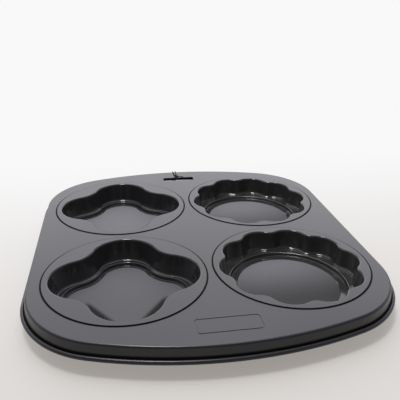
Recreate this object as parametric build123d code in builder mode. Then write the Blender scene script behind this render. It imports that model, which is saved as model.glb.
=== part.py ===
from build123d import *
from math import atan2, cos, hypot, pi, radians, sin, sqrt, tan
import os

os.makedirs("parts", exist_ok=True)

# A four-cup tin of coated sheet steel, standing level on the floors of its cups.
# The origin is under the middle of the tin, on the surface it stands on.
# X runs across the two columns of cups, and the hanging slot is at the +Y end.

# Sheet
sheet = 0.6
cup_sheet = 0.7

# Plan of the deck: bands of plain deck between and beyond the round flanges, measured to
# where the top plane would meet the sloped skirt
flange_radius = 55.0
band_across = 5.8
band_along = 5.5
side_band = 8.3
end_band = 24.45
corner_radius = 58.2
end_radius = 260.7

# Edge of the deck: bend, sloped skirt and wired rim
deck_bend = 1.6
skirt_draft = 9.0
rim_drop = 8.7
rim_radius = 1.45
rim_turn = 300.0
wire_clearance = 0.05

# Round flange of each cup, and the seat pressed into the deck for it
flange_proud = 0.5
flange_round = 0.2
seat_clearance = 0.6
lap = 2.4
collar_height = 2.0
collar_bend = 0.9

# Levels inside a cup, below the top of the deck: a ledge at the foot of the wall, a steep
# step down to a level band, and a low crease round the floor
ledge_depth = 15.5
band_depth = 18.1
floor_depth = 18.6
step_draft = 20.0
crease_draft = 45.0
mouth_bend = 1.5
mouth_band = 4.2
step_round = 0.9
step_root = 0.4

# Flower cup: four broad lobes round a lobed floor
flower_lobes = 4
flower_notch_share = 0.76
flower_lobe_share = 0.4685
floor_in_at_tip = 9.6
floor_in_at_notch = 8.2
floor_lobe_less = 6.8
flower_band_width = 1.0
flower_draft = 11.0
flower_base_fillet = 2.0

# Scalloped cup: ten narrow lobes round a disc
scallop_lobes = 10
scallop_notch_share = 0.9114
scallop_lobe_share = 0.2992
disc_inset = 9.8
disc_band_width = 4.45
scallop_draft = 8.0
scallop_base_fillet = 1.0

# Hanging slot
slot_length = 30.0
slot_width = 8.0
slot_corner = 1.6
slot_from_end = 20.6

# Plain panel outlined by a pressed line at the front of the deck
panel_length = 40.0
panel_width = 14.0
panel_corner = 2.4
panel_line_width = 0.9
panel_line_depth = 0.25
panel_from_end = 17.8

# Cord wound twice through the slot and round the back edge
cord_diameter = 1.1
cord_clearance = 0.12
cord_x = -2.1
cord_spread = 2.4
cord_end_shift = 1.3
lip_set_back = 0.2
knot_turns = 3
knot_turn_radius = 0.75
knot_turn_pitch = 1.05
knot_from_lip = 1.9
long_tail = 7.9
short_tail = 2.6
short_tail_drop = 1.9
tail_bend = 0.9

overrun = 1.0

mouth_tip = flange_radius - mouth_band
cup_pitch_x = 2 * flange_radius + band_across
cup_pitch_y = 2 * flange_radius + band_along
deck_half_width = cup_pitch_x / 2 + flange_radius + side_band
deck_half_length = cup_pitch_y / 2 + flange_radius + end_band
deck_top = floor_depth + cup_sheet
flange_top = deck_top + flange_proud
seat_depth = cup_sheet - flange_proud
seat_top = deck_top - seat_depth
seat_radius = flange_radius + seat_clearance
hole_radius = flange_radius - lap
wire_radius = rim_radius - sheet - wire_clearance
slot_y = deck_half_length - slot_from_end
panel_y = panel_from_end - deck_half_length


def cup_centre(column, row):
    """Middle of a cup, by its column and row, each minus one or one."""
    return column * cup_pitch_x / 2, row * cup_pitch_y / 2


cup_centres = [cup_centre(column, row) for column in (-1, 1) for row in (-1, 1)]

# Section of the deck edge, in a plane with X outward and Y downward from the top
skirt_lean = radians(skirt_draft)
edge_middle = sheet / 2
rim_middle = rim_radius - edge_middle
edge_corner = edge_middle * tan(skirt_lean) - edge_middle / cos(skirt_lean)
edge_start = edge_corner - deck_bend
rim_join_depth = rim_drop + rim_middle * sin(skirt_lean)
rim_join_out = rim_join_depth * tan(skirt_lean) - edge_middle / cos(skirt_lean)
rim_out = rim_join_out + rim_middle * cos(skirt_lean)


def deck_line(height, grow):
    """Plan of the deck, moved outward by grow, starting at the middle of the right side."""
    centre_x = deck_half_width - corner_radius
    end_y = deck_half_length - end_radius
    centre_y = end_y + sqrt((end_radius - corner_radius) ** 2 - centre_x**2)
    turn = atan2(centre_y - end_y, centre_x)
    radius = corner_radius + grow
    half_width = deck_half_width + grow
    half_length = deck_half_length + grow
    middle = (centre_x + radius * cos(turn / 2), centre_y + radius * sin(turn / 2))
    finish = (centre_x + radius * cos(turn), centre_y + radius * sin(turn))
    with BuildLine(Plane.XY.offset(height)) as line:
        Line((half_width, 0), (half_width, centre_y))
        ThreePointArc((half_width, centre_y), middle, finish)
        ThreePointArc(finish, (0, half_length), (-finish[0], finish[1]))
        ThreePointArc((-finish[0], finish[1]), (-middle[0], middle[1]), (-half_width, centre_y))
        Line((-half_width, centre_y), (-half_width, -centre_y))
        ThreePointArc((-half_width, -centre_y), (-middle[0], -middle[1]), (-finish[0], -finish[1]))
        ThreePointArc((-finish[0], -finish[1]), (0, -half_length), (finish[0], -finish[1]))
        ThreePointArc((finish[0], -finish[1]), (middle[0], -middle[1]), (half_width, -centre_y))
        Line((half_width, -centre_y), (half_width, 0))
    return line.line


# Deck: one pressed sheet with a skirt, a curled rim, four collared holes and the slot
with BuildPart() as deck:
    edge_plane = Plane(origin=(deck_half_width, 0, deck_top), x_dir=(1, 0, 0), z_dir=(0, 1, 0))
    with BuildSketch(edge_plane):
        with BuildLine():
            FilletPolyline(
                (edge_start, edge_middle),
                (edge_corner, edge_middle),
                (rim_join_out, rim_join_depth),
                radius=deck_bend - edge_middle,
            )
            CenterArc((rim_out, rim_drop), rim_middle, 180 - skirt_draft, -rim_turn)
        trace(line_width=sheet)
    sweep(path=Wire(deck_line(deck_top, 0).edges()))
    with BuildSketch(Plane.XY.offset(deck_top)):
        add(deck_line(deck_top, edge_start))
        make_face()
    extrude(amount=-sheet)

    # Round seats, let into the sheet so that the flanges stand only a little proud
    with BuildSketch(Plane.XY.offset(seat_top - sheet)):
        with Locations(*cup_centres):
            Circle(seat_radius + sheet)
    extrude(amount=sheet)
    with BuildSketch(Plane.XY.offset(seat_top)):
        with Locations(*cup_centres):
            Circle(seat_radius)
    extrude(amount=seat_depth + overrun, mode=Mode.SUBTRACT)

    # Collars turned down round the holes
    with BuildSketch(Plane.XY.offset(seat_top - sheet)):
        with Locations(*cup_centres):
            Circle(hole_radius + sheet)
    extrude(amount=-collar_height)
    with BuildSketch(Plane.XY.offset(seat_top)):
        with Locations(*cup_centres):
            Circle(hole_radius)
    extrude(amount=-(sheet + collar_height + overrun), mode=Mode.SUBTRACT)
    seats = deck.faces().filter_by(Axis.Z).filter_by_position(Axis.Z, seat_top, seat_top)
    fillet([wire.edges()[0] for seat in seats for wire in seat.inner_wires()], collar_bend)

    # Pressed line round the plain panel, sunk above and raised below
    for level, mode in ((deck_top, Mode.SUBTRACT), (deck_top - sheet, Mode.ADD)):
        with BuildSketch(Plane.XY.offset(level)):
            with Locations((0, panel_y)):
                RectangleRounded(panel_length, panel_width, panel_corner)
                RectangleRounded(
                    panel_length - 2 * panel_line_width,
                    panel_width - 2 * panel_line_width,
                    panel_corner - panel_line_width,
                    mode=Mode.SUBTRACT,
                )
        extrude(amount=-panel_line_depth, mode=mode)

    # Hanging slot
    with BuildSketch(Plane.XY.offset(deck_top)):
        with Locations((0, slot_y)):
            RectangleRounded(slot_length, slot_width, slot_corner)
    extrude(amount=-sheet, mode=Mode.SUBTRACT)

deck.part.label = "deck"
export_step(deck.part, "parts/deck.step")
print("deck", deck.part.volume, deck.part.is_valid, deck.part.bounding_box())

# Wire inside the curled rim, bent to the plan of the deck
with BuildPart() as rim_wire:
    rim_height = deck_top - rim_drop
    wire_start = (deck_half_width + rim_out, 0, rim_height)
    with BuildSketch(Plane(origin=wire_start, x_dir=(1, 0, 0), z_dir=(0, 1, 0))):
        Circle(wire_radius)
    sweep(path=Wire(deck_line(rim_height, rim_out).edges()))

rim_wire.part.label = "rim_wire"
export_step(rim_wire.part, "parts/rim_wire.step")
print("wire", rim_wire.part.volume, rim_wire.part.is_valid)


def lobed_curve(count, tip, notch, lobe_radius, grow):
    """Closed row of round lobes and rounded notches, moved outward by grow."""
    half = pi / count
    lobe_centre = tip - lobe_radius
    notch_less = lobe_radius - notch
    nose_centre = (lobe_centre**2 - notch_less**2) / (2 * lobe_centre * cos(half) + 2 * notch_less)
    across = nose_centre * cos(half) - lobe_centre
    along = nose_centre * sin(half)
    reach = (lobe_radius + grow) / hypot(across, along)
    join = (lobe_centre + across * reach, along * reach)

    def turned(x, y, angle):
        return (x * cos(angle) - y * sin(angle), x * sin(angle) + y * cos(angle))

    with BuildLine() as line:
        for i in range(count):
            at = 2 * half * i
            following = at + 2 * half
            start = turned(join[0], -join[1], at)
            finish = turned(join[0], join[1], at)
            ThreePointArc(start, turned(tip + grow, 0, at), finish)
            ThreePointArc(
                finish,
                turned(notch + grow, 0, at + half),
                turned(join[0], -join[1], following),
            )
    return line.line


def well(mouth, draft, base_fillet, draw_floor, band_width, skin):
    """Solid that fills a cup, with every face moved outward by skin."""
    ledge_height = deck_top - ledge_depth - skin
    band_height = deck_top - band_depth - skin
    step_run = (band_depth - ledge_depth) * tan(radians(step_draft))
    crease_run = (floor_depth - band_depth) * tan(radians(crease_draft))
    step_skin = skin / cos(radians(step_draft)) - skin * tan(radians(step_draft))
    crease_skin = skin / cos(radians(crease_draft)) - skin * tan(radians(crease_draft))
    with BuildPart() as body:
        with BuildSketch(Plane.XY.offset(flange_top)):
            add(lobed_curve(*mouth, skin / cos(radians(draft))))
            make_face()
        extrude(amount=ledge_height - flange_top, taper=draft)
        fillet(body.faces().sort_by(Axis.Z)[0].edges(), base_fillet + skin)
        with BuildSketch(Plane.XY.offset(ledge_height)):
            draw_floor(crease_run + band_width + step_run + step_skin)
        extrude(amount=band_height - ledge_height, taper=step_draft)
        ledge = body.faces().filter_by(Axis.Z).sort_by(Axis.Z)[1]
        fillet(ledge.inner_wires()[0].edges(), step_round - skin)
        fillet(body.faces().sort_by(Axis.Z)[0].edges(), step_root + skin)
        with BuildSketch(Plane.XY.offset(band_height)):
            draw_floor(crease_run + crease_skin)
        extrude(amount=band_depth - floor_depth, taper=crease_draft)
    return body.part


def pressed_cup(*shape):
    """Cup of even sheet with a round flat flange."""
    outside = well(*shape, cup_sheet)
    inside = well(*shape, 0)
    with BuildPart() as body:
        with BuildSketch(Plane.XY.offset(flange_top)):
            Circle(flange_radius)
        extrude(amount=-cup_sheet)
        fillet(body.edges().group_by(Axis.Z)[-1], flange_round)
        add(outside)
        flange_under = body.faces().filter_by(Axis.Z).sort_by(Axis.Z)[-2]
        fillet(flange_under.inner_wires()[0].edges(), mouth_bend - cup_sheet)
        add(inside, mode=Mode.SUBTRACT)
        fillet(body.faces().filter_by(Axis.Z).sort_by(Axis.Z)[-1].inner_wires()[0].edges(), mouth_bend)
    return body.part


# Two flower cups in the left column
flower_notch = mouth_tip * flower_notch_share
flower_lobe_radius = mouth_tip * flower_lobe_share
flower_mouth = (flower_lobes, mouth_tip, flower_notch, flower_lobe_radius)
flower_floor = (
    flower_lobes,
    mouth_tip - floor_in_at_tip,
    flower_notch - floor_in_at_notch,
    flower_lobe_radius - floor_lobe_less,
)


def draw_flower_floor(grow):
    add(lobed_curve(*flower_floor, grow))
    make_face()


flower_cup = pressed_cup(
    flower_mouth, flower_draft, flower_base_fillet, draw_flower_floor, flower_band_width
)
print("flower", flower_cup.volume, flower_cup.is_valid, flower_cup.bounding_box())
for place, row in (("front", -1), ("back", 1)):
    with BuildPart() as flower:
        with Locations(cup_centre(-1, row)):
            add(flower_cup)
    flower.part.label = "flower_cup_" + place
    export_step(flower.part, "parts/flower_cup_" + place + ".step")

# Two scalloped cups in the right column
scallop_notch = mouth_tip * scallop_notch_share
scallop_mouth = (scallop_lobes, mouth_tip, scallop_notch, mouth_tip * scallop_lobe_share)
disc_radius = scallop_notch - disc_inset


def draw_disc_floor(grow):
    Circle(disc_radius + grow)


scalloped_cup = pressed_cup(
    scallop_mouth, scallop_draft, scallop_base_fillet, draw_disc_floor, disc_band_width
)
print("scallop", scalloped_cup.volume, scalloped_cup.is_valid, scalloped_cup.bounding_box())
for place, row in (("front", -1), ("back", 1)):
    with BuildPart() as scalloped:
        with Locations(cup_centre(1, row)):
            add(scalloped_cup)
    scalloped.part.label = "scalloped_cup_" + place
    export_step(scalloped.part, "parts/scalloped_cup_" + place + ".step")

# Cord drawn tight round the back edge, as a belt round the slot lip, the bend and the rim
cord_reach = cord_diameter / 2 + cord_clearance
bend_in = deck_bend * tan(skirt_lean) - deck_bend / cos(skirt_lean)
lip_round = (slot_y + slot_width / 2 + lip_set_back, deck_top - sheet / 2, sheet / 2 + cord_reach)
bend_round = (deck_half_length + bend_in, deck_top - deck_bend, deck_bend + cord_reach)
rim_round = (deck_half_length + rim_out, deck_top - rim_drop, rim_radius + cord_reach)


def touching_line(first, second):
    """Straight line on the outer side of two rounds: its outward direction and distance."""
    along = (second[0] - first[0], second[1] - first[1])
    apart = hypot(*along)
    part = (first[2] - second[2]) / apart
    rest = sqrt(1 - part**2)
    unit = (along[0] / apart, along[1] / apart)
    out = (unit[0] * part - unit[1] * rest, unit[1] * part + unit[0] * rest)
    return out, out[0] * first[0] + out[1] * first[1] + first[2]


def crossing(first, second):
    """Point where two such lines meet."""
    (a, b), reach = first
    (c, d), other = second
    area = a * d - b * c
    return (reach * d - other * b) / area, (a * other - c * reach) / area


over_deck = touching_line(lip_round, bend_round)
down_skirt = touching_line(bend_round, rim_round)
under_deck = touching_line(rim_round, lip_round)
bend_corner = crossing(over_deck, down_skirt)
rim_corner = crossing(down_skirt, under_deck)
lip_corner = crossing(under_deck, over_deck)

with BuildPart() as tag_tie:
    first_x = cord_x - cord_spread / 2
    second_x = cord_x + cord_spread / 2
    last_x = second_x + cord_end_shift
    knot_y = slot_y + slot_width / 2 + knot_from_lip
    strand_height = deck_top + cord_reach
    with BuildLine() as winding:
        FilletPolyline(
            (first_x, knot_y, strand_height),
            (first_x, *bend_corner),
            (first_x, *rim_corner),
            (second_x, *lip_corner),
            (second_x, *bend_corner),
            (second_x, *rim_corner),
            (last_x, *lip_corner),
            (last_x, knot_y, strand_height),
            radius=[bend_round[2], rim_round[2], lip_round[2], bend_round[2], rim_round[2], lip_round[2]],
        )
    with BuildSketch(Plane(origin=winding.line @ 0, z_dir=winding.line % 0)):
        Circle(cord_diameter / 2)
    sweep(path=winding.wires()[0])
    print("winding", winding.wires()[0].length, tag_tie.part.volume / (pi * cord_diameter**2 / 4))

    # Knot of close turns on the deck, with one tail along the slot and one into it
    knot_height = deck_top + cord_clearance + knot_turn_radius + cord_diameter / 2
    for i in range(knot_turns):
        turn_x = cord_x + (i - (knot_turns - 1) / 2) * knot_turn_pitch
        with Locations(Plane(origin=(turn_x, knot_y, knot_height), z_dir=(1, 0, 0))):
            Torus(knot_turn_radius, cord_diameter / 2)
    with BuildLine() as along_slot:
        FilletPolyline(
            (first_x, knot_y, knot_height),
            (cord_x + long_tail / 2, knot_y, knot_height),
            (cord_x + long_tail / 2 + tail_bend, knot_y, strand_height),
            (cord_x + long_tail, knot_y, strand_height),
            radius=tail_bend,
        )
    with BuildSketch(Plane(origin=along_slot.line @ 0, z_dir=along_slot.line % 0)):
        Circle(cord_diameter / 2)
    sweep(path=along_slot.wires()[0])
    with BuildLine() as into_slot:
        FilletPolyline(
            (cord_x, knot_y, knot_height),
            (cord_x, knot_y - short_tail, knot_height),
            (cord_x, knot_y - short_tail - tail_bend, knot_height - short_tail_drop),
            radius=tail_bend,
        )
    with BuildSketch(Plane(origin=into_slot.line @ 0, z_dir=into_slot.line % 0)):
        Circle(cord_diameter / 2)
    sweep(path=into_slot.wires()[0])

tag_tie.part.label = "tag_tie"
export_step(tag_tie.part, "parts/tag_tie.step")
print("tie", tag_tie.part.volume, tag_tie.part.is_valid, len(tag_tie.part.solids()))
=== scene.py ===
# %% [markdown]
# # A four-cup muffin pan with flower and scalloped cups
# The pan is made of thin sheet steel under a dark non-stick coating. The CAD frame
# already holds its true shape, so this lesson is mostly about finish and light: how a
# satin black coating shows its form by what it mirrors.

# %% Load the pan's frame
import bpy
from math import cos, pi, radians, sin
from mathutils import Matrix, Vector


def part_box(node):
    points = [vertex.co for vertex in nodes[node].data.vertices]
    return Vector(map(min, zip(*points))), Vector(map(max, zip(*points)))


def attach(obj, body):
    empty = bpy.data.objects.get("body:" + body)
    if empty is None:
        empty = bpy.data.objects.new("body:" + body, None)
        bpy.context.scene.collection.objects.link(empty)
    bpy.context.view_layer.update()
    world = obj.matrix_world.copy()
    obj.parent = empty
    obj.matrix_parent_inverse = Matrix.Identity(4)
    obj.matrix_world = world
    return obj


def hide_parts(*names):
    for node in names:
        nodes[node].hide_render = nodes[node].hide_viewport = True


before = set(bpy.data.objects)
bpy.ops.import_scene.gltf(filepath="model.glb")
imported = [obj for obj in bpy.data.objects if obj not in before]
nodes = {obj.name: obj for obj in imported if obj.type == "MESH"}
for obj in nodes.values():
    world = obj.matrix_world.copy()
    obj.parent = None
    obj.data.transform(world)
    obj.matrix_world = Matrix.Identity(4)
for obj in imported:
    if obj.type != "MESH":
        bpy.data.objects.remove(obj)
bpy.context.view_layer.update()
print("nodes:", sorted(nodes))

# %% [markdown]
# ## Sizes that the scene shares with the pan
# Blender works in metres here and a maker's drawing in millimetres, so MM turns one into
# the other. The height of the deck and the radius of a cup's round flange are read from
# the frame, not typed again, so the scene follows when the CAD model changes. The
# photograph's camera was worked out in units of that radius.

# %% Sizes
MM = 0.001
flange_low, flange_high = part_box("flower_cup_front")
flange_radius = (flange_high[0] - flange_low[0]) / 2
deck_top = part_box("deck")[1][2]
print("flange radius", round(flange_radius, 4), "deck top", round(deck_top, 4))

# %% [markdown]
# ## The camera
# The photograph was taken close to the pan with a normal lens, a little to the left and
# about 23 degrees above the table. Its place, turn and lens were fitted to the four round
# seams. Three rotation angles could aim it, but their order is easy to get wrong. A camera
# in Blender looks along its own -Z, so its matrix is built from where right, up and back
# are, and each of these is one line that can be checked.

# %% Directions of the camera
camera_turn = radians(-9.777)
camera_height = radians(23.459)
camera_roll = radians(0.808)
back = Vector((
    sin(camera_turn) * cos(camera_height),
    -cos(camera_turn) * cos(camera_height),
    sin(camera_height),
))
level_right = Vector((cos(camera_turn), sin(camera_turn), 0))
level_up = back.cross(level_right)
right = level_right * cos(camera_roll) + level_up * sin(camera_roll)
up = level_up * cos(camera_roll) - level_right * sin(camera_roll)
print("camera looks along", [round(-v, 3) for v in back])

# %% Camera
photo_size = 400
focal_pixels = 505.27
camera_distance = 8.346 * flange_radius
aim = Vector((0.232793 * flange_radius, 1.11352 * flange_radius, deck_top))

camera_data = bpy.data.cameras.new("photo_camera")
camera_data.sensor_width = 36
camera_data.lens = focal_pixels * camera_data.sensor_width / photo_size
camera = bpy.data.objects.new("photo_camera", camera_data)
bpy.context.scene.collection.objects.link(camera)
place = aim + back * camera_distance
camera.matrix_world = Matrix((
    (right.x, up.x, back.x, place.x),
    (right.y, up.y, back.y, place.y),
    (right.z, up.z, back.z, place.z),
    (0, 0, 0, 1),
))
bpy.context.scene.camera = camera
bpy.context.scene.view_settings.view_transform = "Standard"
print("camera at", [round(v, 3) for v in place], "lens", round(camera_data.lens, 2))

# %% [markdown]
# ## Writing shaders as sentences
# A finish is a small sum: this much noise, that much roughness. Joining Math nodes by
# hand hides the sum, so this class wraps one socket and lets Python's own operators add
# the Math node for it. A Math node handles plain numbers alone, so colours go through Mix
# nodes and places through Vector Math nodes. `add_node` makes any of these, with its
# settings first and then the values or links of its sockets. `blend` is a smooth step
# from one value to another while a signal runs from low to high.

# %% A socket that does sums
class Signal:
    """One output of a node, which can be added, subtracted and multiplied."""

    def __init__(self, tree, socket):
        self.tree = tree
        self.socket = socket

    def maths(self, operation, first, second):
        return add_node(self.tree, "ShaderNodeMath", {"operation": operation}, {0: first, 1: second})

    def __add__(self, other):
        return self.maths("ADD", self, other)

    __radd__ = __add__

    def __mul__(self, other):
        return self.maths("MULTIPLY", self, other)

    __rmul__ = __mul__

    def __sub__(self, other):
        return self.maths("SUBTRACT", self, other)

    def __rsub__(self, other):
        return self.maths("SUBTRACT", other, self)


def add_node(tree, kind, settings=None, sockets=None, out=0):
    """One node: its settings, then the values or links of its sockets. Gives one output as a Signal."""
    node = tree.nodes.new(kind)
    for name, value in (settings or {}).items():
        setattr(node, name, value)
    for name, value in (sockets or {}).items():
        if isinstance(value, Signal):
            tree.links.new(value.socket, node.inputs[name])
        else:
            node.inputs[name].default_value = value
    return Signal(tree, node.outputs[out]) if node.outputs else None


def blend(signal, low, high, first=0.0, second=1.0):
    """Goes smoothly from the first value to the second while the signal goes from low to high."""
    return add_node(
        signal.tree, "ShaderNodeMapRange", {"interpolation_type": "SMOOTHSTEP"},
        {0: signal, 1: low, 2: high, 3: first, 4: second},
    )


def mixed(tree, share, first, second):
    """A colour between two colours, which are sockets 6 and 7 of the Mix node."""
    return add_node(tree, "ShaderNodeMix", {"data_type": "RGBA"}, {0: share, 6: first, 7: second}, out=2)


# %% Start, close and apply a finish
def new_finish(name):
    """An empty node material, with its tree."""
    material = bpy.data.materials.new(name)
    material.use_nodes = True
    material.node_tree.nodes.clear()
    return material, material.node_tree


def close_finish(tree, shader):
    """Links the last shader to the output of a material."""
    add_node(tree, "ShaderNodeOutputMaterial", {}, {"Surface": shader})


def dress(finish, *names):
    """Puts one finish on CAD nodes."""
    for name in names:
        slots = nodes[name].data.materials
        slots.clear()
        slots.append(finish)
    print(finish.name, "on", ", ".join(names))


# %% [markdown]
# ## The coating, and its painted shade
# A non-stick coating is sprayed on and baked. It is nearly black by itself, and the pale
# grey of the deck is only the bright room mirrored at a shallow angle. So the base colour
# is dark, the roughness is low but not zero, and a very fine grain breaks the mirror the
# way sprayed paint does.
#
# The coating changes from place to place. Each change gets a mask, a signal that is one
# where it applies and zero elsewhere. A thin dark line along each round seam is painted
# shade, where a flange's edge meets the deck, and the valley between the skirt and the
# curled rim is darkened with painted shade too. Both could be painted by hand, but a
# formula stays sharp at any size. The distance from a cup's middle finds a seam, and
# mirroring the place into one quarter does all four cups at once. The valley is found by
# its height, and the product of place and facing tells the bead's outside from its inside.

# %% Painted shade in the seams and behind the rim
cup_place = ((flange_high[0] + flange_low[0]) / -2, (flange_high[1] + flange_low[1]) / -2, 0)
seam_radius = flange_radius + 0.3 * MM
seam_half_width = 0.35 * MM
seam_fade_end = 0.9 * MM
valley_bottom = deck_top - 6.6 * MM
valley_brink = deck_top - 5.2 * MM
bead_low = deck_top - 7.2 * MM
bead_high = deck_top - 6.9 * MM
turned_inward = -30 * MM
turned_outward = 10 * MM


def axes(tree, vector):
    """The three coordinates of a vector."""
    parts = add_node(tree, "ShaderNodeSeparateXYZ", {}, {0: vector}).socket.node.outputs
    return [Signal(tree, part) for part in parts]


def vector_maths(tree, operation, first, second=(0, 0, 0), out=0):
    """One Vector Math node. Its second output is the one for plain numbers."""
    return add_node(tree, "ShaderNodeVectorMath", {"operation": operation}, {0: first, 1: second}, out)


# Painted shade: a thin dark line along each round seam, where a flange's edge meets the deck.
def in_seam(tree, where):
    """One on the four round seams and zero beside them."""
    quarter = vector_maths(tree, "ABSOLUTE", where)
    flat = vector_maths(tree, "MULTIPLY", quarter, (1, 1, 0))
    apart = vector_maths(tree, "DISTANCE", flat, cup_place, out=1)
    offset = apart.maths("ABSOLUTE", apart - seam_radius, 0)
    return blend(offset, seam_half_width, seam_fade_end, 1.0, 0.0)


# Painted shade: the valley between the skirt and the curled rim is darkened.
def in_valley(tree, where, facing, height):
    """One between the skirt and the curled rim, and zero on the rim's outside."""
    outward = vector_maths(tree, "DOT_PRODUCT", where, facing, out=1)
    deep = blend(height, valley_bottom, valley_brink, 1.0, 0.0)
    bead = blend(height, bead_low, bead_high, 1.0, 0.0)
    outside = blend(outward, turned_inward, turned_outward)
    return deep * (1 - bead * outside)


# The painted shade runs on a circle round each cup.
print("grime on a circle of", round(seam_radius / MM, 1), "mm round each cup")

# %% [markdown]
# ## Painted sheen and shade on the floors
# The floors are matt, and their pale colour is painted sheen, darker towards the front. In
# the photograph the front flower's floor is also dark on its two front flanks, and here
# that is painted shade. Places are measured from the middle of a cup: across to either
# side, and along towards the back. A slanting line is a sum of the two, and a flank lies
# beyond one such line and between two others.

# %% Painted sheen and shade of the floors
floor_level = 0.7 * MM
floor_reach = 36 * MM
flank_lean = (0.81, -0.6)
tip_lean = (0.71, 0.71)
flank_edge = (20 * MM, 24 * MM)
front_tip = (-19 * MM, -11 * MM)
side_tip = (13 * MM, 21 * MM)


# Painted sheen and shade: a pale floor tone, darker towards the front, stands for the light the floor
# mirrors.
def painted_floor_sheen(tree, along, front_tone, back_tone):
    """The painted sheen of a floor, from its front tone to its back tone."""
    return mixed(tree, blend(along, -0.6 * floor_reach, 1.2 * floor_reach), front_tone, back_tone)


# Painted shade: the two front flanks of the front flower's floor are darkened.
def on_front_flanks(across, along):
    """One on the two front flanks of a flower's floor."""
    flank = blend(flank_lean[0] * across + flank_lean[1] * along, *flank_edge)
    onward = tip_lean[0] * across + tip_lean[1] * along
    return flank * blend(onward, *front_tip) * blend(onward, *side_tip, 1.0, 0.0)


# The floors' painted sheen runs over this length.
print("floors are scoured over", round(2 * floor_reach / MM), "mm")

# %% [markdown]
# ## Tones of the coating, and painted light
# Only the first tone is the coating itself. One tone for the whole pan would be simpler,
# but the photograph shows darker sides and a different floor in each cup. So the skirt
# has a darker tone that is painted shade, the walls have lighter tones that are painted
# reflection, and each floor has a pale painted sheen, with one tone for its front and one
# for its back. The seams, the valley and the front of one floor get painted shade tones.
# All of them were set against the photograph, cup by cup.

# %% Tones
coating_tone = (0.0215, 0.0195, 0.0260, 1)
# Painted shade: a darker tone for the steep skirt.
skirt_shade_tone = (0.003, 0.0024, 0.003, 1)
# Painted reflection: lighter tones for the walls of the cups.
flower_wall_reflection_tone = (0.024, 0.022, 0.023, 1)
scalloped_wall_reflection_tone = (0.031, 0.029, 0.028, 1)
# Painted shade: the tone of the seams, the valley and the front flanks.
painted_shade_tone = (0.005, 0.0045, 0.004, 1)
# Painted shade: the dark front of the front scalloped floor.
front_shade_tone = (0.012, 0.012, 0.013, 1)


def grey(level):
    """A grey with a trace of violet."""
    return (level, 0.98 * level, 1.06 * level, 1)


# Painted sheen and shade: a front tone and a back tone for each floor.
floor_sheen_tones = {
    "flower_cup_front": (grey(0.082), grey(0.13)),
    "flower_cup_back": (grey(0.145), grey(0.19)),
    "scalloped_cup_front": (front_shade_tone, grey(0.185)),
    "scalloped_cup_back": (grey(0.045), grey(0.21)),
}
print(len(floor_sheen_tones), "floors with tones of their own")

# %% [markdown]
# ## The sweep at the foot of a scalloped wall
# The scalloped walls run into their ledge in a sweep, and its glints are what shows the
# scallops. The CAD model has a small fillet there. The photograph's glints are wider, so
# a height for the Bump node turns the surface a little more: a parabola that starts level
# on the wall and steepens towards the ledge. It bends the light alone, not the metal.

# %% Sweep of the scalloped walls
ledge_height = 3.8 * MM
fillet_height = 1.0 * MM
sweep_height = 3.4 * MM
sweep_slope = 1.8


def base_sweep(height):
    """The wide sweep of a scalloped wall into its ledge, as a height for the bump."""
    rise = sweep_height - (height - ledge_height)
    reach = rise.maths("MINIMUM", rise.maths("MAXIMUM", rise, 0), sweep_height - fillet_height)
    return reach * reach * (sweep_slope / (2 * sweep_height))


print("sweep rises", round(sweep_height / MM, 1), "mm")

# %% [markdown]
# ## Spraying the deck and the cups
# One function makes every coat. The press burnishes the walls of a cup as it draws them,
# so they are glossier than the deck, while a floor is matt under its painted sheen. The
# masks come from the height and from how far the surface faces up. Clean coating and
# painted shade are two separate shaders, and the shade mask mixes them. The painted shade
# has a low IOR as well as a dark colour, because a dark but shiny surface would still
# mirror the pale room.

# %% Sizes of the coating's masks
steep = (0.3, 0.7)
fairly_level = (0.8, 0.95)
all_but_level = (0.93, 0.99)
mouth = (deck_top - 1.6 * MM, deck_top - 0.3 * MM)
floor_skin = (floor_level + 0.1 * MM, floor_level + 0.25 * MM)
print("cup mouths end", round(mouth[0] / MM, 1), "mm above the table")

# %% Coating
gloss = 0.30
cloud_spread = 0.06
speck_spread = 0.04
tone_spread = 0.12
burnish = 0.19
scouring = 0.39
flank_shade_cover = 0.9


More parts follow.
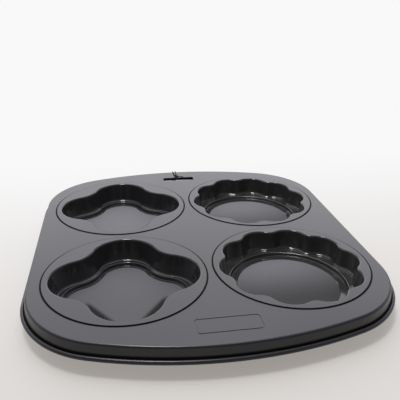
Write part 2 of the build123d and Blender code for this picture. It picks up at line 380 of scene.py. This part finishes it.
def coating(name, grain_depth, middle=None, tones=None, shaded_flanks=False, swept=False):
    """The coating. A cup's has the middle of the cup and the two painted sheen tones of its floor."""
    material, tree = new_finish(name)
    where = add_node(tree, "ShaderNodeTexCoord", out=3)
    facing = add_node(tree, "ShaderNodeTexCoord", out=1)
    x, y, height = axes(tree, where)
    upward = axes(tree, facing)[2]
    cloud = add_node(tree, "ShaderNodeTexNoise", {}, {"Vector": where, "Scale": 38, "Detail": 3})
    speck = add_node(tree, "ShaderNodeTexNoise", {}, {"Vector": where, "Scale": 900, "Detail": 2})
    darker = [v * (1 - tone_spread) for v in coating_tone]
    lighter = [v * (1 + tone_spread) for v in coating_tone]
    shade = mixed(tree, cloud, darker, lighter)
    polish = gloss + cloud_spread * (cloud - 0.5) + speck_spread * (speck - 0.5)
    grain = speck * grain_depth
    # Painted shade along the round seams.
    painted_shade = in_seam(tree, where)
    if tones:
        across = x.maths("ABSOLUTE", x - middle[0], 0)
        along = y - middle[1]
        below = blend(height, *mouth, 1.0, 0.0)
        bent = blend(upward, *all_but_level, 1.0, 0.0)
        drawn = below.maths("MAXIMUM", below, bent)
        matt_and_sheen_painted = blend(height, *floor_skin, 1.0, 0.0) * blend(upward, *fairly_level)
        # Painted reflection: the walls get their lighter tone.
        shade = mixed(tree, drawn, shade, scalloped_wall_reflection_tone if swept else flower_wall_reflection_tone)
        # Painted sheen: the level floor gets its pale tones.
        shade = mixed(tree, matt_and_sheen_painted, shade, painted_floor_sheen(tree, along, *tones))
        polish = polish - burnish * drawn + (burnish + scouring) * matt_and_sheen_painted
    else:
        # Painted shade: the steep skirt gets its darker tone.
        shade = mixed(tree, blend(upward, *steep, 1.0, 0.0), shade, skirt_shade_tone)
        # Painted shade in the valley behind the rim.
        painted_shade = painted_shade.maths("MAXIMUM", painted_shade, in_valley(tree, where, facing, height))
    # Painted shade on the front flanks of a flower's floor.
    if shaded_flanks:
        flank_shade = on_front_flanks(across, along) * matt_and_sheen_painted * flank_shade_cover
        painted_shade = painted_shade.maths("MAXIMUM", painted_shade, flank_shade)
    if swept:
        grain = grain + base_sweep(height)
    bump = add_node(tree, "ShaderNodeBump", {}, {"Height": grain, "Strength": 1.0, "Distance": 1.0})
    clean = add_node(
        tree, "ShaderNodeBsdfPrincipled", {},
        {"Base Color": shade, "Roughness": polish, "Normal": bump, "IOR": 1.5},
    )
    # The dark shader of the painted shade.
    shade_coat = add_node(
        tree, "ShaderNodeBsdfPrincipled", {},
        {"Base Color": painted_shade_tone, "Roughness": 0.8, "IOR": 1.25},
    )
    close_finish(tree, add_node(tree, "ShaderNodeMixShader", {}, {0: painted_shade, 1: clean, 2: shade_coat}))
    return material


# %% [markdown]
# ## One coat for each piece
# The deck and the four cups could share one material, but each floor has its own middle
# and painted sheen tones. So each cup gets a material of its own from the same function.
# The grain of the deck is a little deeper than that of the cups.

# %% Dress the deck and the cups
deck_grain = 0.007 * MM
cup_grain = 0.003 * MM
dress(coating("satin_coating", deck_grain), "deck")
for cup, tones in floor_sheen_tones.items():
    low_corner, high_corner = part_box(cup)
    middle = [(low + high) / 2 for low, high in zip(low_corner, high_corner)]
    # Only the front flower's floor gets painted shade on its front flanks.
    shaded_flanks = cup == "flower_cup_front"
    swept = cup.startswith("scalloped")
    dress(coating(cup + "_coating", cup_grain, middle, tones, shaded_flanks, swept), cup)

# %% [markdown]
# ## The wire in the rim
# A steel wire fills the curled rim and keeps it stiff. It can hardly be seen, so a plain
# metal would do, but someone may open the rim. A bare metal with a noise in its roughness
# looks like drawn wire at little cost.

# %% Rim wire
wire_grey = (0.5, 0.5, 0.5, 1)
wire_gloss = 0.28
scratch_depth = 0.2
material, tree = new_finish("drawn_wire")
where = add_node(tree, "ShaderNodeTexCoord", out=3)
scratch = add_node(tree, "ShaderNodeTexNoise", {}, {"Vector": where, "Scale": 700, "Detail": 4})
wire_shader = add_node(
    tree, "ShaderNodeBsdfPrincipled", {},
    {"Base Color": wire_grey, "Metallic": 1.0, "Roughness": wire_gloss + scratch_depth * scratch},
)
close_finish(tree, wire_shader)
dress(material, "rim_wire")

# %% [markdown]
# ## The tied cord
# A black cord goes twice through the slot and round the back edge, and ends in a knot of
# three turns with a long tail and a short one. A plain round tube would be quicker, but
# the twist is what makes it a cord. The route of each length is a few points in
# millimetres, and a smooth spline follows them. Three thin strands then twist round that
# spline. Stretches round the edge and round the slot's lip repeat, so each is written once
# as pairs of a place along the pan and a height, and only the sideways place differs.

# %% Route of the winding
around_edge = (
    (133.5, 19.8), (137.6, 20.1), (138.9, 16.0), (140.9, 12.2),
    (142.0, 9.6), (140.2, 8.2), (136.5, 10.1),
)
around_lip = ((124.5, 16.4), (120.5, 18.2), (119.6, 19.1), (120.7, 19.95), (124.5, 19.8))
first_turn_x = -3.3
second_turn_x = -0.9
last_x = 0.4


def at_x(pairs, start, finish):
    """Points of one stretch, which drifts sideways from start to finish."""
    last = len(pairs) - 1
    return [(start + (finish - start) * i / last, y, z) for i, (y, z) in enumerate(pairs)]


winding = (
    [(-2.6, 122.8, 19.85)]
    + at_x(around_edge, first_turn_x, first_turn_x)
    + at_x(around_lip, first_turn_x + 1.6, second_turn_x)
    + at_x(around_edge, second_turn_x, second_turn_x)
    + at_x(around_lip[:4], second_turn_x + 0.7, last_x)
    + [(-0.8, 122.6, 19.85)]
)
print("winding follows", len(winding), "points")

# %% Route of the knot and the tails
knot_place = (-2.1, 122.5, 20.55)
knot_turns = 3
points_per_turn = 12
turn_radius = 0.72
turn_pitch = 0.92
knot_steps = knot_turns * points_per_turn
knot_and_tail = [
    (
        knot_place[0] + (i / points_per_turn - knot_turns / 2) * turn_pitch,
        knot_place[1] + turn_radius * cos(2 * pi * i / points_per_turn),
        knot_place[2] + turn_radius * sin(2 * pi * i / points_per_turn),
    )
    for i in range(knot_steps)
] + [(0.2, 121.8, 20.5), (1.5, 121.1, 19.95), (3.5, 120.9, 19.78), (5.6, 121.2, 19.78)]
short_tail = [
    knot_place, (-2.2, 120.8, 20.8), (-2.4, 119.5, 20.3), (-2.6, 118.7, 18.9), (-2.7, 118.3, 17.7),
]
print("knot of", knot_turns, "turns, drawn with", knot_steps, "points")

# %% [markdown]
# ## Twisting the strands
# The spline is turned into a row of points, and these are spaced evenly along it. A
# direction square to the line is carried from point to point without turning, and each
# strand circles the line by an angle that grows with the distance. Bevelled curves could
# make the strands too, but a mesh made here has known sides and closed ends.

# %% Even points along a route
sample_gap = 0.22 * MM


def spline_points(route):
    """Even points on the smooth line of a route in millimetres."""
    curve = bpy.data.curves.new("cord_route", "CURVE")
    curve.dimensions = "3D"
    spline = curve.splines.new("NURBS")
    spline.points.add(len(route) - 1)
    for point, place in zip(spline.points, route):
        point.co = [v * MM for v in place] + [1]
    spline.order_u = 3
    spline.use_endpoint_u = True
    spline.resolution_u = 12
    carrier = bpy.data.objects.new("cord_route", curve)
    mesh = bpy.data.meshes.new_from_object(carrier)
    line = [vertex.co.copy() for vertex in mesh.vertices]
    bpy.data.meshes.remove(mesh)
    bpy.data.objects.remove(carrier)
    bpy.data.curves.remove(curve)
    even = [line[0]]
    left = sample_gap
    for start, finish in zip(line, line[1:]):
        apart = (finish - start).length
        while apart > 0 and left <= apart:
            even.append(start.lerp(finish, left / apart))
            left += sample_gap
        left -= apart
    return even


# %% Three strands
cord_radius = 0.43 * MM
strand_radius = 0.23 * MM
twist_length = 2.6 * MM
strand_sides = 7
strands = 3


def twisted(route):
    """Vertices and faces of three strands twisted round a route."""
    line = spline_points(route)
    ahead = [(b - a).normalized() for a, b in zip(line, line[1:])]
    ahead.append(ahead[-1])
    side = ahead[0].orthogonal().normalized()
    vertices = []
    faces = []
    rings = []
    for step, (place, onward) in enumerate(zip(line, ahead)):
        side = (side - onward * side.dot(onward)).normalized()
        other = onward.cross(side)
        for strand in range(strands):
            turn = 2 * pi * (step * sample_gap / twist_length + strand / strands)
            centre = place + (side * cos(turn) + other * sin(turn)) * (cord_radius - strand_radius)
            rings.append(len(vertices))
            for corner in range(strand_sides):
                angle = 2 * pi * corner / strand_sides
                vertices.append(centre + (side * cos(angle) + other * sin(angle)) * strand_radius)
    for first, second in zip(rings, rings[strands:]):
        for corner in range(strand_sides):
            after = (corner + 1) % strand_sides
            faces.append((first + corner, first + after, second + after, second + corner))
    for end in rings[:strands] + rings[-strands:]:
        faces.append(tuple(range(end, end + strand_sides)))
    length = sample_gap * (len(line) - 1)
    return vertices, faces, length


# %% Tied cord
cord_vertices = []
cord_faces = []
for route in (winding, knot_and_tail, short_tail):
    vertices, faces, length = twisted(route)
    offset = len(cord_vertices)
    cord_vertices += vertices
    cord_faces += [tuple(corner + offset for corner in face) for face in faces]
    print("cord length", round(length / MM, 1), "mm")

cord_mesh = bpy.data.meshes.new("tied_cord")
cord_mesh.from_pydata(cord_vertices, [], cord_faces)
for polygon in cord_mesh.polygons:
    polygon.use_smooth = len(polygon.vertices) == 4
tied_cord = bpy.data.objects.new("tied_cord", cord_mesh)
bpy.context.scene.collection.objects.link(tied_cord)
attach(tied_cord, "root")
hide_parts("tag_tie")

# %% [markdown]
# ## The cord's fibres
# The cord is dull and slightly hairy. One fine noise drives its colour, its roughness and
# its bump, so that each lighter fibre also stands out.

# %% Cord's finish
material, tree = new_finish("black_cord")
where = add_node(tree, "ShaderNodeTexCoord", out=3)
fuzz = add_node(tree, "ShaderNodeTexNoise", {}, {"Vector": where, "Scale": 4000, "Detail": 4})
dark_fibre = (0.008, 0.008, 0.009, 1)
light_fibre = (0.03, 0.03, 0.032, 1)
thread = mixed(tree, fuzz, dark_fibre, light_fibre)
fibre = add_node(tree, "ShaderNodeBump", {}, {"Height": fuzz, "Strength": 0.6, "Distance": 0.05 * MM})
cord_shader = add_node(
    tree, "ShaderNodeBsdfPrincipled", {},
    {"Base Color": thread, "Roughness": 0.75 + 0.2 * fuzz, "Normal": fibre},
)
close_finish(tree, cord_shader)
cord_mesh.materials.append(material)
print(material.name, "on", tied_cord.name)

# %% [markdown]
# ## The table
# The studio is a white table that runs on past the edge of the picture. To the camera and
# in mirrors it is pale and fades to white behind the pan, with a little glow of its own
# that keeps the shadow soft. A strong lamp could whiten it too, but would wash out the
# dark coating. To scattered light the table is darker, so that little of it comes back
# onto the skirt. The Light Path node tells these kinds of ray apart.

# %% Table
def flat_sheet(name, half, height):
    """A square sheet with no thickness."""
    mesh = bpy.data.meshes.new(name)
    corners = [(-half, -half, height), (half, -half, height), (half, half, height), (-half, half, height)]
    mesh.from_pydata(corners, [], [(0, 1, 2, 3)])
    sheet = bpy.data.objects.new(name, mesh)
    bpy.context.scene.collection.objects.link(sheet)
    return sheet


table_half = 12
table_drop = 0.2 * MM
fade_start = -0.16
fade_end = 0.26
near_paint = (0.390, 0.380, 0.367, 1)
near_glow = (0.302, 0.281, 0.262, 1)
far_glow = (0.945, 0.945, 0.95, 1)
unseen_paint = (0.3, 0.3, 0.3, 1)
table = flat_sheet("table", table_half, -table_drop)
material, tree = new_finish("white_table")
rays = [add_node(tree, "ShaderNodeLightPath", out=name) for name in
        ("Is Camera Ray", "Is Glossy Ray", "Is Transmission Ray")]
seen = rays[0] + rays[1] + rays[2]
place = add_node(tree, "ShaderNodeNewGeometry", out=0)
along = add_node(tree, "ShaderNodeSeparateXYZ", {}, {0: place}, out=1)
far = blend(along, fade_start, fade_end)
lit_pale = add_node(tree, "ShaderNodeBsdfDiffuse", {}, {"Color": near_paint})
soft_pale = add_node(tree, "ShaderNodeEmission", {}, {"Color": near_glow})
near_pale = add_node(tree, "ShaderNodeAddShader", {}, {0: lit_pale, 1: soft_pale})
far_white = add_node(tree, "ShaderNodeEmission", {}, {"Color": far_glow})
pale_table = add_node(tree, "ShaderNodeMixShader", {}, {0: far, 1: near_pale, 2: far_white})
dim_table = add_node(tree, "ShaderNodeBsdfDiffuse", {}, {"Color": unseen_paint})
both = add_node(tree, "ShaderNodeMixShader", {}, {0: seen, 1: dim_table, 2: pale_table})
close_finish(tree, both)
table.data.materials.append(material)
print("table fades to white over", round(fade_end - fade_start, 2), "m")

# %% [markdown]
# ## The room
# What a dark coating shows is mostly what it mirrors. The room is dim in front of the pan,
# which keeps the skirt and the cup walls near black, and brighter behind it, which is what
# the level deck mirrors into the camera.

# %% Room
world = bpy.data.worlds.new("room")
bpy.context.scene.world = world
world.use_nodes = True
tree = world.node_tree
tree.nodes.clear()
direction = add_node(tree, "ShaderNodeTexCoord", out=0)
behind = add_node(tree, "ShaderNodeSeparateXYZ", {}, {0: direction}, out=1)
front_glow = 0.22
back_glow = 0.72
turn_to_back = 0.6
glow = blend(behind, -turn_to_back, turn_to_back, front_glow, back_glow)
room = add_node(tree, "ShaderNodeBackground", {}, {"Color": (0.9, 0.92, 1.0, 1), "Strength": glow})
add_node(tree, "ShaderNodeOutputWorld", {}, {"Surface": room})
print("room glows from", front_glow, "in front to", back_glow, "behind")


# %% [markdown]
# ## The lamps
# A low panel far behind the pan gives the deck its sheen, which fades towards the front. A
# small lamp overhead makes the glints in the cups. A wide cloth, overhead and a little
# behind, softens the shadow and moves it to the front.

# %% Lamps
def panel(name, centre, size, radiance, target=Vector((0, 0, 0))):
    """A rectangular lamp that faces the target and shines with one radiance all over."""
    data = bpy.data.lights.new(name, "AREA")
    data.shape = "RECTANGLE"
    data.size, data.size_y = size
    data.energy = radiance * pi * size[0] * size[1]
    lamp = bpy.data.objects.new(name, data)
    bpy.context.scene.collection.objects.link(lamp)
    centre = Vector(centre)
    lamp.location = centre
    lamp.rotation_mode = "QUATERNION"
    lamp.rotation_quaternion = (centre - target).to_track_quat("Z", "Y")
    print(name, "at", [round(v, 2) for v in centre])


panel("back_panel", centre=(0.3, 2.6, 1.3), size=(4.2, 1.8), radiance=1.3)
panel("overhead_lamp", centre=(-0.18, 0.0, 1.6), size=(0.3, 0.3), radiance=36)
panel("overhead_cloth", centre=(-0.1, 0.65, 1.6), size=(1.5, 1.3), radiance=1.75)
